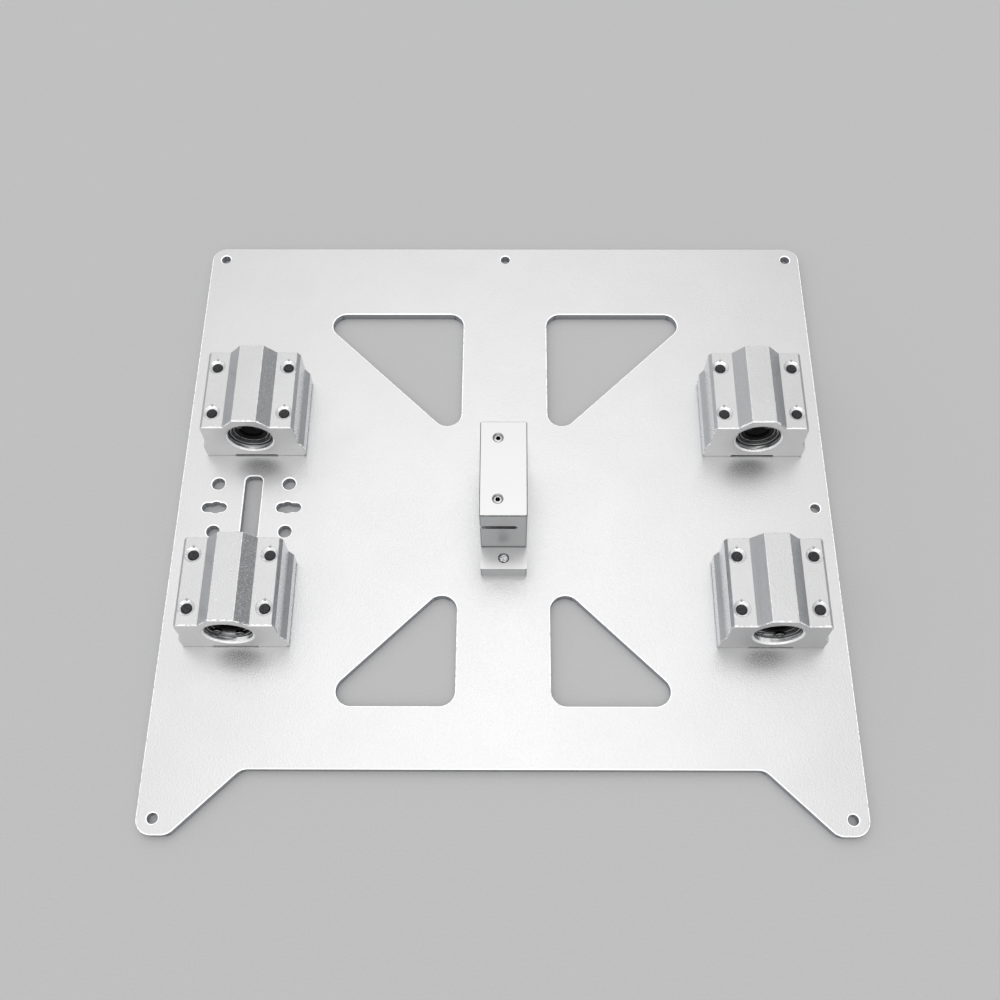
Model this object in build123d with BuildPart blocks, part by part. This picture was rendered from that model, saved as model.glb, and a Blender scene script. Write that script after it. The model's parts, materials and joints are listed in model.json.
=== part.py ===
from build123d import *
import math
import os

# Y carriage plate of a desktop 3-D printer. Millimetres. The plate lies flat with its working side up:
# +Z points from the plate to the bearing blocks, +Y to the rear, and the rods run along Y.
# The origin is the centre of the bed hole square, on the plate's underside.

# Plate outline
plate_width = 219.0
plate_depth = 219.0
plate_thickness = 3.0
corner_radius = 5.0
edge_break = 0.3
front_recess = 20.0
prong_width = 10.0

# Bed holes: one in each corner, one more at the middle of the rear edge and one at the right edge
bed_hole_inset = 5.0
bed_hole = 3.4

# Triangular cut-outs on both sides of the middle strip
strip_width = 30.0
cutout_apex_y = 25.0
cutout_rear_margin = 30.0
cutout_front_margin = 20.0
cutout_radius = 5.0

# Bearing blocks, two on each rod
rod_inset = 24.5
block_pitch_y = 70.0
block_width = 34.0
block_length = 30.0
block_height = 22.0
shoulder_height = 18.0
shoulder_width = 29.4
shoulder_chamfer = 0.9
shoulder_drop = 1.3
waist_width = 31.4
waist_height = 8.3
waist_radius = 0.6
flange_height = 5.4
flange_radius = 1.0
profile_radius = 0.4
foot_chamfer = 0.8
hump_top_width = 8.0
hump_foot_width = 15.8
relief_width = 14.2
relief_height = 0.6
face_break = 0.25
bore_height = 11.0
bore_mouth_chamfer = 0.6

# Tapped holes of the blocks, modelled at the pitch diameter of an M4 thread
block_hole_x = 24.0
block_hole_y = 18.0
block_thread = 3.55
block_sink = 5.3
block_clearance_hole = 4.5

# Spare hole pattern for a middle block on the left
slot_width = 6.0
slot_length = 24.0
slot_radius = 2.0
key_slot_pitch = 25.0
key_slot_width = 3.5
key_slot_length = 8.4

# Linear ball bearing, 8 x 15 x 24
rod_diameter = 8.0
bearing_diameter = 15.0
bearing_length = 24.0
snap_groove_span = 17.5
snap_groove_width = 1.1
snap_groove_diameter = 14.3
sleeve_chamfer = 0.3
circuits = 4
ball_diameter = 1.588
balls_in_row = 9
ball_gap = 0.04
return_angle = 33.0
return_lift = 0.6
cage_inner = 8.6
seal_diameter = 12.6
seal_thickness = 1.4
seal_bevel = 0.4
seal_bead_diameter = 11.6
seal_step = 0.3

# Retaining rings in the housing bore, and how far each ring's gap is turned from the bottom
ring_thickness = 1.0
ring_groove_width = 1.1
ring_groove_diameter = 15.7
ring_band = 1.3
ring_gap_angle = 46.0
ring_lug = 2.8
ring_lug_hole = 1.1
ring_lug_inset = 4.25
ring_turns = {"rear_left": 180.0, "rear_right": 170.0, "front_left": 13.0, "front_right": 20.0}

# Belt holder
holder_width = 15.0
holder_body_length = 34.0
holder_height = 27.0
holder_foot_length = 8.0
holder_foot_height = 5.0
holder_edge_radius = 0.6
holder_break = 0.25
corner_relief = 0.3
belt_slot_height = 2.0
belt_slot_centre = 19.0
belt_slot_depth = 12.0
clamp_pitch = 22.0
clamp_offset = -1.75
foot_hole_inset = 4.0

# Screws, threads modelled as plain cylinders at their pitch diameter
block_screw_length = 20.4
block_screw_head = 8.0
block_screw_rim = 0.2
block_screw_hex = 2.5
block_screw_hex_depth = 1.5
foot_screw_length = 8.0
foot_screw_head = 6.0
foot_screw_rim = 0.15
foot_screw_hex = 2.0
foot_screw_hex_depth = 1.1
foot_thread = 2.65
foot_sink = 3.6
foot_clearance_hole = 3.4
clamp_hex = 1.5
clamp_hex_depth = 2.0
clamp_sunk = 0.4
tip_chamfer = 0.3

# Named clearances
thread_gap = 0.02
seat_gap = 0.03
head_sunk = 0.1
fit_gap = 0.01
rod_gap = 0.01
ball_clearance = 0.03

# Derived places
half_width = plate_width / 2
half_depth = plate_depth / 2
front_edge = -half_depth + front_recess
bed_x = half_width - bed_hole_inset
bed_y = half_depth - bed_hole_inset
rod_x = half_width - rod_inset
rod_z = plate_thickness + bore_height
block_centres = {
    "rear_left": (-rod_x, block_pitch_y / 2),
    "rear_right": (rod_x, block_pitch_y / 2),
    "front_left": (-rod_x, -block_pitch_y / 2),
    "front_right": (rod_x, -block_pitch_y / 2),
}
spare_x = -rod_x
foot_screw_y = holder_body_length / 2 + holder_foot_length - foot_hole_inset
ball_circle = rod_diameter / 2 + ball_diameter / 2
track_radius = ball_diameter / 2 + ball_clearance
race_radius = ball_circle + track_radius
cage_outer = race_radius - ball_clearance
ball_step = ball_diameter + ball_gap
row_length = (balls_in_row - 1) * ball_step
bearing_end = bearing_length / 2
seal_seat = bearing_end - seal_thickness
ring_seat = bearing_end + (ring_groove_width - ring_thickness) / 2

os.makedirs("parts", exist_ok=True)


def save(piece, name):
    """Label a finished piece and write it to its own file."""
    piece.label = name
    export_step(piece, f"parts/{name}.step")


def grid(centre_x, centre_y, pitch_x, pitch_y):
    """The four corners of a hole rectangle, as points."""
    return [
        (centre_x + sx * pitch_x / 2, centre_y + sy * pitch_y / 2)
        for sx in (-1, 1)
        for sy in (-1, 1)
    ]


def across_rod(centre_x, start_y):
    """A plane across a rod at start_y that looks to the rear: its x is X and its y points down."""
    return Plane(origin=(centre_x, start_y, rod_z), x_dir=(1, 0, 0), z_dir=(0, 1, 0))


def along_rod(centre_x, centre_y):
    """A plane through a rod's axis: its x runs to the rear and its y is the distance from the axis."""
    return Plane(origin=(centre_x, centre_y, rod_z), x_dir=(0, 1, 0), z_dir=(1, 0, 0))


def rod_axis(centre_x):
    """The axis of a rod."""
    return Axis((centre_x, 0, rod_z), (0, 1, 0))


# Plate

block_holes = [
    point
    for centre in block_centres.values()
    for point in grid(*centre, block_hole_x, block_hole_y)
]
foot_holes = [(0, -foot_screw_y), (0, foot_screw_y)]
bed_holes = grid(0, 0, 2 * bed_x, 2 * bed_y) + [(0, bed_y), (bed_x, 0)]


def plate_outline():
    """Square plate whose front edge is set back between two prongs with 45 degree flanks."""
    prong_x = half_width - prong_width
    corners = [
        (-half_width, half_depth),
        (half_width, half_depth),
        (half_width, -half_depth),
        (prong_x, -half_depth),
        (prong_x - front_recess, front_edge),
        (-prong_x + front_recess, front_edge),
        (-prong_x, -half_depth),
        (-half_width, -half_depth),
    ]
    return FilletPolyline(*corners, radius=corner_radius, close=True)


def cutout(side, direction, edge_y):
    """Right-angled triangle beside the middle strip, from its apex out to edge_y."""
    apex = direction * cutout_apex_y
    leg = abs(edge_y - apex)
    inner_x = side * strip_width / 2
    corners = [(inner_x, apex), (inner_x, edge_y), (inner_x + side * leg, edge_y)]
    return FilletPolyline(*corners, radius=cutout_radius, close=True)


with BuildPart() as plate:
    with BuildSketch():
        with BuildLine():
            plate_outline()
        make_face()
        for side in (-1, 1):
            with BuildLine():
                cutout(side, 1, half_depth - cutout_rear_margin)
            make_face(mode=Mode.SUBTRACT)
            with BuildLine():
                cutout(side, -1, front_edge + cutout_front_margin)
            make_face(mode=Mode.SUBTRACT)
        with Locations(*bed_holes):
            Circle(bed_hole / 2, mode=Mode.SUBTRACT)
        with Locations(*block_holes):
            Circle(block_clearance_hole / 2, mode=Mode.SUBTRACT)
        with Locations(*foot_holes):
            Circle(foot_clearance_hole / 2, mode=Mode.SUBTRACT)
        with Locations(*grid(spare_x, 0, block_hole_x, block_hole_y)):
            Circle(block_clearance_hole / 2, mode=Mode.SUBTRACT)
        with Locations((spare_x, 0)):
            RectangleRounded(slot_width, slot_length, slot_radius, mode=Mode.SUBTRACT)
        with Locations((spare_x - key_slot_pitch / 2, 0), (spare_x + key_slot_pitch / 2, 0)):
            SlotOverall(key_slot_length, key_slot_width, mode=Mode.SUBTRACT)
        with Locations((spare_x - block_hole_x / 2, 0), (spare_x + block_hole_x / 2, 0)):
            Circle(block_clearance_hole / 2, mode=Mode.SUBTRACT)
    extrude(amount=plate_thickness)
    chamfer(plate.faces().sort_by(Axis.Z)[-1].edges(), edge_break)
    outer = plate.faces().sort_by(Axis.Z)[0].outer_wire().edges()
    chamfer(outer, edge_break)
    for points, head, shank, rim in (
        (block_holes, block_screw_head, block_clearance_hole, block_screw_rim),
        (foot_holes, foot_screw_head, foot_clearance_hole, foot_screw_rim),
    ):
        depth = head_sunk + rim
        with BuildSketch():
            with Locations(*points):
                Circle(head / 2 + seat_gap)
        extrude(amount=depth, mode=Mode.SUBTRACT)
        with BuildSketch(Plane.XY.offset(depth)):
            with Locations(*points):
                Circle(head / 2 + seat_gap)
        extrude(amount=(head - shank) / 2 + seat_gap, taper=45, mode=Mode.SUBTRACT)
save(plate.part, "carriage_plate")


# Bearing blocks

def block_half_section():
    """Right half of the block's end view, from the middle of the underside up to the hump."""
    half_waist = waist_width / 2
    half_block = block_width / 2
    shoulder = shoulder_width / 2
    relief = relief_width / 2
    underside = Polyline(
        (0, relief_height),
        (relief, relief_height),
        (relief, 0),
        (half_block - foot_chamfer, 0),
        (half_block, foot_chamfer),
    )
    FilletPolyline(
        underside @ 1,
        (half_block, flange_height),
        (half_waist, waist_height),
        (shoulder + shoulder_chamfer, shoulder_height - shoulder_drop),
        (shoulder, shoulder_height),
        (hump_foot_width / 2, shoulder_height),
        (hump_top_width / 2, block_height),
        (0, block_height),
        radius=(flange_radius, waist_radius, *4 * [profile_radius]),
    )


def block_housing(centre_x, centre_y):
    """Extruded aluminium block with a stepped bore, four tapped holes and ring grooves."""
    rear_face = Plane(
        origin=(centre_x, centre_y + block_length / 2, plate_thickness),
        x_dir=(1, 0, 0),
        z_dir=(0, -1, 0),
    )
    bore_start = across_rod(centre_x, centre_y - block_length / 2)
    shoulder_plane = Plane.XY.offset(plate_thickness + shoulder_height)
    points = grid(centre_x, centre_y, block_hole_x, block_hole_y)
    with BuildPart() as housing:
        with BuildSketch(rear_face):
            with BuildLine():
                block_half_section()
                mirror(about=Plane.YZ)
            make_face()
        extrude(amount=block_length)
        ends = housing.faces().filter_by(Axis.Y)
        chamfer(ends.edges(), face_break)
        with BuildSketch(bore_start):
            Circle(bearing_diameter / 2 + fit_gap)
        extrude(amount=block_length, mode=Mode.SUBTRACT)
        mouths = housing.edges().filter_by(GeomType.CIRCLE).filter_by(
            lambda edge: edge.radius > bearing_diameter / 2
            and abs(abs(edge.arc_center.Y - centre_y) - block_length / 2) < face_break
        )
        chamfer(mouths, bore_mouth_chamfer)
        for start in (bearing_end, -bearing_end - ring_groove_width):
            with BuildSketch(across_rod(centre_x, centre_y + start)):
                Circle(ring_groove_diameter / 2)
            extrude(amount=ring_groove_width, mode=Mode.SUBTRACT)
        with BuildSketch(shoulder_plane):
            with Locations(*points):
                Circle(block_thread / 2 + thread_gap)
        extrude(amount=-shoulder_height, mode=Mode.SUBTRACT)
        with BuildSketch(shoulder_plane):
            with Locations(*points):
                Circle(block_sink / 2)
        extrude(amount=-(block_sink - block_thread) / 2, taper=45, mode=Mode.SUBTRACT)
    return housing.part


# Linear ball bearing

def circuit_angles():
    """Angle of each loaded row about the rod, in degrees."""
    return [45 + 360 / circuits * index for index in range(circuits)]


def row_place(centre_x, radius, angle):
    """X and Z of a ball row at an angle about the rod."""
    turn = math.radians(angle)
    return centre_x + radius * math.cos(turn), rod_z + radius * math.sin(turn)


def track_planes(centre_x, centre_y):
    """Planes at the front ends of the ball tracks, one for each loaded and each return row."""
    start_y = centre_y - row_length / 2 - ball_step / 2
    planes = []
    for angle in circuit_angles():
        for radius, turn in ((ball_circle, 0), (ball_circle + return_lift, return_angle)):
            x, z = row_place(centre_x, radius, angle + turn)
            planes.append(Plane(origin=(x, start_y, z), x_dir=(1, 0, 0), z_dir=(0, 1, 0)))
    return planes


def bearing_sleeve(centre_x, centre_y):
    """Hardened outer cylinder with two snap ring grooves outside and seal seats at its ends."""
    outer = bearing_diameter / 2
    groove_end = snap_groove_span / 2
    groove_start = groove_end - snap_groove_width
    with BuildPart() as sleeve:
        with BuildSketch(along_rod(centre_x, centre_y)):
            with BuildLine():
                Polyline(
                    (0, outer),
                    (groove_start, outer),
                    (groove_start, snap_groove_diameter / 2),
                    (groove_end, snap_groove_diameter / 2),
                    (groove_end, outer),
                    (bearing_end - sleeve_chamfer, outer),
                    (bearing_end, outer - sleeve_chamfer),
                    (bearing_end, seal_diameter / 2),
                    (seal_seat, seal_diameter / 2),
                    (seal_seat, race_radius),
                    (0, race_radius),
                )
                mirror(about=Plane.YZ)
            make_face()
        revolve(axis=rod_axis(centre_x))
        with BuildSketch(*track_planes(centre_x, centre_y)):
            Circle(track_radius)
        extrude(amount=row_length + ball_step, mode=Mode.SUBTRACT)
    return sleeve.part


def ball_retainer(centre_x, centre_y):
    """Moulded cage: a tube whose loaded ball tracks are open towards the rod."""
    with BuildPart() as cage:
        with BuildSketch(across_rod(centre_x, centre_y - seal_seat)):
            Circle(cage_outer)
            Circle(cage_inner / 2, mode=Mode.SUBTRACT)
        extrude(amount=2 * seal_seat)
        with BuildSketch(*track_planes(centre_x, centre_y)):
            Circle(track_radius)
        extrude(amount=row_length + ball_step, mode=Mode.SUBTRACT)
    return cage.part


def bearing_balls(centre_x, centre_y):
    """The balls of the loaded rows, each of them running on the rod and in the sleeve."""
    places = []
    for angle in circuit_angles():
        x, z = row_place(centre_x, ball_circle, angle)
        for index in range(balls_in_row):
            places.append((x, centre_y - row_length / 2 + index * ball_step, z))
    with BuildPart() as balls:
        with Locations(*places):
            Sphere(ball_diameter / 2)
    return balls.part


def bearing_seals(centre_x, centre_y):
    """Two rubber rings in the ends of the sleeve, raised and bevelled where the rod enters."""
    lip = rod_diameter / 2 + rod_gap
    rim = seal_diameter / 2 - fit_gap
    with BuildPart() as seals:
        with BuildSketch(along_rod(centre_x, centre_y)):
            with BuildLine():
                Polyline(
                    (seal_seat, lip),
                    (bearing_end - seal_bevel, lip),
                    (bearing_end, lip + seal_bevel),
                    (bearing_end, seal_bead_diameter / 2),
                    (bearing_end - seal_step, seal_bead_diameter / 2),
                    (bearing_end - seal_step, rim),
                    (seal_seat, rim),
                    close=True,
                )
            make_face()
            mirror(about=Plane.YZ)
        revolve(axis=rod_axis(centre_x))
    return seals.part


def retaining_rings(centre_x, centre_y, turn):
    """Two open spring rings with plier lugs, in the grooves of the housing bore."""
    outer = ring_groove_diameter / 2 - fit_gap
    lug_radius = ring_lug_inset + ring_lug / 2
    gap_half = math.radians(ring_gap_angle / 2)
    lug_half = ring_gap_angle / 2 + math.degrees(math.asin(ring_lug / 2 / lug_radius))
    gap_corner = (ring_groove_diameter * math.sin(gap_half), ring_groove_diameter * math.cos(gap_half))
    with BuildPart() as rings:
        for start in (ring_seat, -ring_seat - ring_thickness):
            with BuildSketch(across_rod(centre_x, centre_y + start).rotated((0, turn, 0))):
                Circle(outer)
                Circle(outer - ring_band, mode=Mode.SUBTRACT)
                with BuildLine():
                    Polyline((0, 0), gap_corner, (-gap_corner[0], gap_corner[1]), close=True)
                make_face(mode=Mode.SUBTRACT)
                with PolarLocations(lug_radius, 2, 90 - lug_half, 2 * lug_half, endpoint=True):
                    Circle(ring_lug / 2)
                with PolarLocations(lug_radius, 2, 90 - lug_half, 2 * lug_half, endpoint=True):
                    Circle(ring_lug_hole / 2, mode=Mode.SUBTRACT)
            extrude(amount=ring_thickness)
    return rings.part


# Screws

def flat_head_screws(points, head, shank, rim, length, hex_size, hex_depth):
    """Countersunk screws with hex sockets, their heads just inside the plate's underside."""
    head_top = head_sunk + rim
    cone = (head - shank) / 2
    with BuildPart() as screws:
        with BuildSketch(Plane.XY.offset(head_sunk)):
            with Locations(*points):
                Circle(head / 2)
        extrude(amount=rim)
        with BuildSketch(Plane.XY.offset(head_top)):
            with Locations(*points):
                Circle(head / 2)
        extrude(amount=cone, taper=45)
        with BuildSketch(Plane.XY.offset(head_sunk)):
            with Locations(*points):
                Circle(shank / 2)
        extrude(amount=length)
        tips = screws.edges().filter_by(GeomType.CIRCLE).group_by(Axis.Z)[-1]
        chamfer(tips, tip_chamfer)
        with BuildSketch(Plane.XY.offset(head_sunk)):
            with Locations(*points):
                RegularPolygon(hex_size / 2, 6, major_radius=False)
        extrude(amount=hex_depth, mode=Mode.SUBTRACT)
    return screws.part


for corner, (block_x, block_y) in block_centres.items():
    save(block_housing(block_x, block_y), f"{corner}_block_housing")
    save(bearing_sleeve(block_x, block_y), f"{corner}_bearing_sleeve")
    save(ball_retainer(block_x, block_y), f"{corner}_ball_retainer")
    save(bearing_balls(block_x, block_y), f"{corner}_bearing_balls")
    save(bearing_seals(block_x, block_y), f"{corner}_bearing_seals")
    save(retaining_rings(block_x, block_y, ring_turns[corner]), f"{corner}_retaining_rings")
    block_screws = flat_head_screws(
        grid(block_x, block_y, block_hole_x, block_hole_y),
        block_screw_head,
        block_thread,
        block_screw_rim,
        block_screw_length,
        block_screw_hex,
        block_screw_hex_depth,
    )
    save(block_screws, f"{corner}_block_screws")


# Belt holder

slot_mouth = -holder_width / 2
slot_end = slot_mouth + belt_slot_depth
slot_bottom = plate_thickness + belt_slot_centre - belt_slot_height / 2
slot_top = slot_bottom + belt_slot_height
holder_top = plate_thickness + holder_height
clamp_points = [(clamp_offset, -clamp_pitch / 2), (clamp_offset, clamp_pitch / 2)]

with BuildPart() as holder:
    with BuildSketch(Plane.XY.offset(plate_thickness)):
        Rectangle(holder_width, holder_body_length)
    extrude(amount=holder_height)
    fillet(holder.edges().filter_by(Axis.Z), holder_edge_radius)
    with BuildSketch(Plane.XY.offset(plate_thickness)):
        Rectangle(holder_width, holder_body_length + 2 * holder_foot_length)
    extrude(amount=holder_foot_height)
    corners = holder.edges().filter_by(Axis.Z).filter_by(
        lambda edge: abs(edge.center().Y) > holder_body_length / 2 + holder_foot_length / 2
    )
    fillet(corners, holder_edge_radius)
    chamfer(holder.faces().sort_by(Axis.Z)[-1].edges(), holder_break)
    slot_plane = Plane(
        origin=(0, -holder_body_length / 2, plate_thickness + belt_slot_centre),
        x_dir=(1, 0, 0),
        z_dir=(0, 1, 0),
    )
    with BuildSketch(slot_plane):
        with Locations(((slot_mouth + slot_end - belt_slot_height / 2) / 2, 0)):
            Rectangle(belt_slot_depth - belt_slot_height / 2, belt_slot_height)
        with Locations((slot_end - belt_slot_height / 2, 0)):
            Circle(belt_slot_height / 2)
    extrude(amount=holder_body_length, mode=Mode.SUBTRACT)
    with BuildSketch(Plane.XY.offset(slot_top)):
        with Locations(*clamp_points):
            Circle(foot_thread / 2 + thread_gap)
    extrude(amount=holder_top - slot_top, mode=Mode.SUBTRACT)
    with BuildSketch(Plane.XY.offset(holder_top)):
        with Locations(*clamp_points):
            Circle(foot_sink / 2)
    extrude(amount=-(foot_sink - foot_thread) / 2, taper=45, mode=Mode.SUBTRACT)
    foot_top = plate_thickness + holder_foot_height
    with BuildSketch(Plane.XY.offset(plate_thickness)):
        with Locations(*foot_holes):
            Circle(foot_thread / 2 + thread_gap)
    extrude(amount=holder_foot_height, mode=Mode.SUBTRACT)
    with BuildSketch(Plane.XY.offset(foot_top)):
        with Locations(*foot_holes):
            Circle(foot_sink / 2)
    extrude(amount=-(foot_sink - foot_thread) / 2, taper=45, mode=Mode.SUBTRACT)
    with BuildSketch(Plane.XY.offset(foot_top)):
        Rectangle(holder_width, holder_body_length + 2 * corner_relief)
        RectangleRounded(holder_width, holder_body_length, holder_edge_radius, mode=Mode.SUBTRACT)
    extrude(amount=-corner_relief, mode=Mode.SUBTRACT)
save(holder.part, "belt_holder")

foot_screws = flat_head_screws(
    foot_holes,
    foot_screw_head,
    foot_thread,
    foot_screw_rim,
    foot_screw_length,
    foot_screw_hex,
    foot_screw_hex_depth,
)
save(foot_screws, "belt_holder_screws")

clamp_screw_top = holder_top - clamp_sunk
with BuildPart() as clamps:
    with BuildSketch(Plane.XY.offset(slot_top)):
        with Locations(*clamp_points):
            Circle(foot_thread / 2)
    extrude(amount=clamp_screw_top - slot_top)
    chamfer(clamps.edges().filter_by(GeomType.CIRCLE), tip_chamfer)
    with BuildSketch(Plane.XY.offset(clamp_screw_top)):
        with Locations(*clamp_points):
            RegularPolygon(clamp_hex / 2, 6, major_radius=False)
    extrude(amount=-clamp_hex_depth, mode=Mode.SUBTRACT)
save(clamps.part, "belt_clamp_screws")
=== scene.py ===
import json
import math

import bmesh
import bpy
from bpy.props import FloatProperty, FloatVectorProperty, PointerProperty
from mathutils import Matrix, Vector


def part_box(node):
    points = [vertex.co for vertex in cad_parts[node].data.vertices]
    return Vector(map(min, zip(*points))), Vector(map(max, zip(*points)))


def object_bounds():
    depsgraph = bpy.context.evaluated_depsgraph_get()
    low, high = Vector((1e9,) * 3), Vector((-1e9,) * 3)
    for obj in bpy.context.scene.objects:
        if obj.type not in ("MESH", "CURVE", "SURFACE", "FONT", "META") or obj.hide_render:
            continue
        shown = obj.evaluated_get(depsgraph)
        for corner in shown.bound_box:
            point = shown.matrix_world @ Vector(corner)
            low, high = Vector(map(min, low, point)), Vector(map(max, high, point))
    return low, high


# Looks of a y carriage plate: aluminium, bearing steel, rubber, screws, a studio and a camera.
# Metres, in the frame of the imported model: the plate lies flat, +Z up, +Y to the rear.

bl_info = {
    "name": "Carriage Plate Looks",
    "version": (1, 0, 0),
    "blender": (4, 5, 0),
    "location": "3D View > Sidebar > Carriage Plate",
    "description": "Surface finishes, light and camera for a y carriage plate",
    "category": "Object",
}

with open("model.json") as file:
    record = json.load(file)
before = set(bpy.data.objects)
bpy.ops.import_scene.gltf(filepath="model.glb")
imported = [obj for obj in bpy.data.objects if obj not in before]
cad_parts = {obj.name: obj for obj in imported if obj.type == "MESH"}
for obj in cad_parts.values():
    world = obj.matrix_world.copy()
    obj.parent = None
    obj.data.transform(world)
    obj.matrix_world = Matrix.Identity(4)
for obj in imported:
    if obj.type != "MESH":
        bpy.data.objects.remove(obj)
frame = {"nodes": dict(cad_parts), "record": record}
cad_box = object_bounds()
record_colours = {entry["slot"]: entry["base_color"] for entry in frame["record"]["materials"]}

MM = 0.001
METAL, NOT_METAL = 1.0, 0.0
UP = (0.0, 0.0, 1.0)
WHITE = (1.0, 1.0, 1.0, 1.0)
CORNERS = ("rear_left", "rear_right", "front_left", "front_right")

# Most of a noise lies between these values
NOISE_LOW, NOISE_HIGH = 0.3, 0.7

# Places on a block, measured on the rear right one. The other three mirror it
sleeve_low, sleeve_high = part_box("rear_right_bearing_sleeve")
screws_low, screws_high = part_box("rear_right_block_screws")
SCREW_HEAD_RADIUS = 4 * MM
ROD_X, BLOCK_Y, ROD_Z = (sleeve_low + sleeve_high) / 2
HOLE_X = (screws_high.x - screws_low.x) / 2 - SCREW_HEAD_RADIUS
HOLE_Y = (screws_high.y - screws_low.y) / 2 - SCREW_HEAD_RADIUS
END_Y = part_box("rear_right_block_housing")[1].y - BLOCK_Y
RING_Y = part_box("rear_right_retaining_rings")[1].y - BLOCK_Y
BORE_RADIUS = (sleeve_high.x - sleeve_low.x) / 2
MOUTH_RADIUS = 8.1 * MM
SINK_RADIUS = 2.65 * MM
CREST_X = 4.0 * MM
SEAL_BEAD_RADIUS = 5.8 * MM
RING_INNER_RADIUS = 6.55 * MM

# Places on the belt holder
HOLDER_SIDE_X = 7.5 * MM
HOLDER_END_Y = 17.0 * MM
HOLDER_FOOT_Z = 8.0 * MM
HOLDER_TOP_Z = 30.0 * MM

# Colours that don't come from the record
# Painted shade: the aluminium's tone runs down to this dark blue
PAINTED_SHADE_COLOUR = (0.0, 0.01, 0.035, 1.0)
# Painted reflection of a bluish sky on the aluminium flanks
SKY_REFLECTION_TINT = (0.72, 0.81, 0.93, 1.0)
# Painted shade lines on the belt holder
HOLDER_SHADE_LINE_COLOUR = (0.1, 0.1, 0.11, 1.0)
# Painted highlight on the seals' bead
SEAL_BEAD_HIGHLIGHT_COLOUR = (0.8, 0.8, 0.8, 1.0)
# Painted highlight on the retaining rings' rims
RING_RIM_HIGHLIGHT_COLOUR = (0.6, 0.6, 0.6, 1.0)
# Painted shade in the zinc screws' sockets and holes
SOCKET_SHADE_COLOUR = (0.02, 0.02, 0.02, 1.0)

# Edges lean towards the overhead light by this much per metre from the centre, and to the front
EDGE_LEAN_X = -1.3
EDGE_LEAN_Y = -1.1
EDGE_LEAN_FORWARD = -0.12

# The overhead light's level by degrees to either side, and by degrees to the rear of overhead
SIDE_FADE = ((0, 1.0), (5, 0.97), (12, 0.8), (18, 0.51), (28, 0.28), (45, 0.1), (90, 0.0))
REAR_FADE = (
    (-90, 0.0),
    (-60, 0.22),
    (-45, 0.44),
    (-30, 0.7),
    (-12, 0.88),
    (0, 0.95),
    (14, 1.0),
    (27, 0.92),
    (39, 0.66),
    (52, 0.37),
    (68, 0.13),
    (90, 0.0),
)

FLOOR_SEGMENTS = 96
SENSOR_WIDTH = 36.0
NEAREST_VIEW = 10 * MM


def colour_setting(name, description, slot):
    """A colour that a user can change. It starts as the record's colour of a material slot."""
    return FloatVectorProperty(
        name=name,
        description=description,
        default=record_colours[slot],
        min=0.0,
        max=1.0,
        subtype="COLOR",
    )


def share_setting(name, description, default):
    """A number from 0 to 1 that a user can change."""
    return FloatProperty(
        name=name,
        description=description,
        default=default,
        min=0.0,
        max=1.0,
        subtype="FACTOR",
    )


def length_setting(name, description, default):
    """A length in metres that a user can change."""
    return FloatProperty(
        name=name,
        description=description,
        default=default,
        min=0.0,
        unit="LENGTH",
        precision=5,
    )


class CarriageFinishSettings(bpy.types.PropertyGroup):
    """Colours and grain of the plate, the blocks, the belt holder and the small metal pieces."""

    plate_colour: colour_setting("Plate", "Aluminium of the plate", "plate_aluminium")
    block_colour: colour_setting("Blocks", "Aluminium of the bearing blocks", "block_aluminium")
    holder_colour: colour_setting("Belt holder", "Aluminium of the belt holder", "holder_aluminium")
    sleeve_colour: colour_setting("Bearing sleeves", "Ground steel", "bearing_steel")
    ball_colour: colour_setting("Balls", "Polished steel", "ball_steel")
    retainer_colour: colour_setting("Ball retainers", "Moulded plastic", "retainer_plastic")
    seal_colour: colour_setting("Seals", "Rubber", "seal_rubber")
    ring_colour: colour_setting("Retaining rings", "Dark spring steel", "ring_steel")
    black_screw_colour: colour_setting("Block screws", "Black oxide", "black_screw_steel")
    bright_screw_colour: colour_setting("Holder screws", "Zinc coating", "bright_screw_steel")
    grain: length_setting("Blast grain", "Size of one dimple of the blasted surface", 0.35 * MM)
    plate_roughness: share_setting("Plate roughness", "Mean roughness of the plate", 0.34)
    block_roughness: share_setting("Block roughness", "Mean roughness of the blocks", 0.38)
    holder_roughness: share_setting("Holder roughness", "Mean roughness of the belt holder", 0.30)
    # Scales the painted edge marks: painted highlights on the plate's and blocks' edges, painted
    # shade on the holder's
    edge_light_and_shade: share_setting("Edge light and shade", "How bright the deburred edges are", 0.9)


class CarriageStageSettings(bpy.types.PropertyGroup):
    """Floor, light and camera."""

    floor_colour: FloatVectorProperty(
        name="Floor",
        description="Colour of the pale floor",
        default=(0.8, 0.8, 0.805),
        min=0.0,
        max=1.0,
        subtype="COLOR",
    )
    floor_radius: length_setting("Floor radius", "Radius of the round floor", 4.0)
    softbox_level: FloatProperty(
        name="Softbox level",
        description="Brightness of the middle of the overhead light",
        default=1.36,
        min=0.0,
    )
    room_level: FloatProperty(
        name="Room level",
        description="Brightness of the room at the horizon",
        default=0.27,
        min=0.0,
    )
    side_fill: FloatProperty(
        name="Side fill",
        description="How much brighter the room is on the left than on the right",
        default=0.26,
        min=0.0,
    )
    lens: FloatProperty(
        name="Lens",
        description="Focal length in millimetres",
        default=40.38,
        min=1.0,
    )
    camera_place: FloatVectorProperty(
        name="Camera place",
        description="Where the camera stands",
        default=(0.0026, -0.174932, 0.337613),
        unit="LENGTH",
        subtype="XYZ",
        precision=5,
    )
    camera_turn: FloatVectorProperty(
        name="Camera turn",
        description="Rotation of the camera about X, Y and Z",
        default=(math.radians(24.2351), math.radians(0.1457), math.radians(0.1877)),
        unit="ROTATION",
        subtype="EULER",
    )
    camera_shift: FloatVectorProperty(
        name="Camera shift",
        description="Shift of the lens to the side and up",
        default=(-0.0075, 0.0736),
        size=2,
    )


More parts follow.
